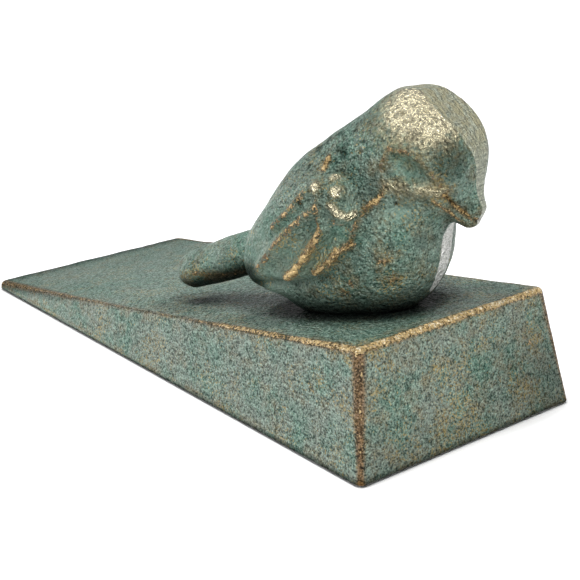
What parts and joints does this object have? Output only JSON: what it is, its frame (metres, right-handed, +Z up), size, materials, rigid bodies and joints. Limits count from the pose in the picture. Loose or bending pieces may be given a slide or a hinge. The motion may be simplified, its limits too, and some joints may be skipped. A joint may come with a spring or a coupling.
{
  "type": "door stop",
  "caption": "Wedge-shaped cast-iron door stop with a plump bird perched on its slope, in a worn verdigris finish. Its thin end slides under a door to hold the door open.",
  "frame": {"origin": "on the floor, under the middle of the wedge's length and width", "axes": "+X along the length towards the thick end, +Y to the left when looking along +X, +Z up"},
  "size_m": [0.153, 0.0596, 0.0697],
  "materials": {
    "base_casting": "sand-cast iron with verdigris paint rubbed back to gold on the edges",
    "bird_casting": "sand-cast iron with verdigris paint rubbed back to gold on the raised feathers",
    "zinc_steel": "bright zinc plating",
    "spring_steel": "dark spring steel",
    "felt": "thin black felt"
  },
  "bodies": {
    "root": {"wedge_base": "base_casting", "bird": "bird_casting", "front_screw": "zinc_steel", "rear_screw": "zinc_steel", "front_spring_washer": "spring_steel", "rear_spring_washer": "spring_steel", "front_flat_washer": "zinc_steel", "rear_flat_washer": "zinc_steel", "floor_pad": "felt"}
  },
  "joints": []
}
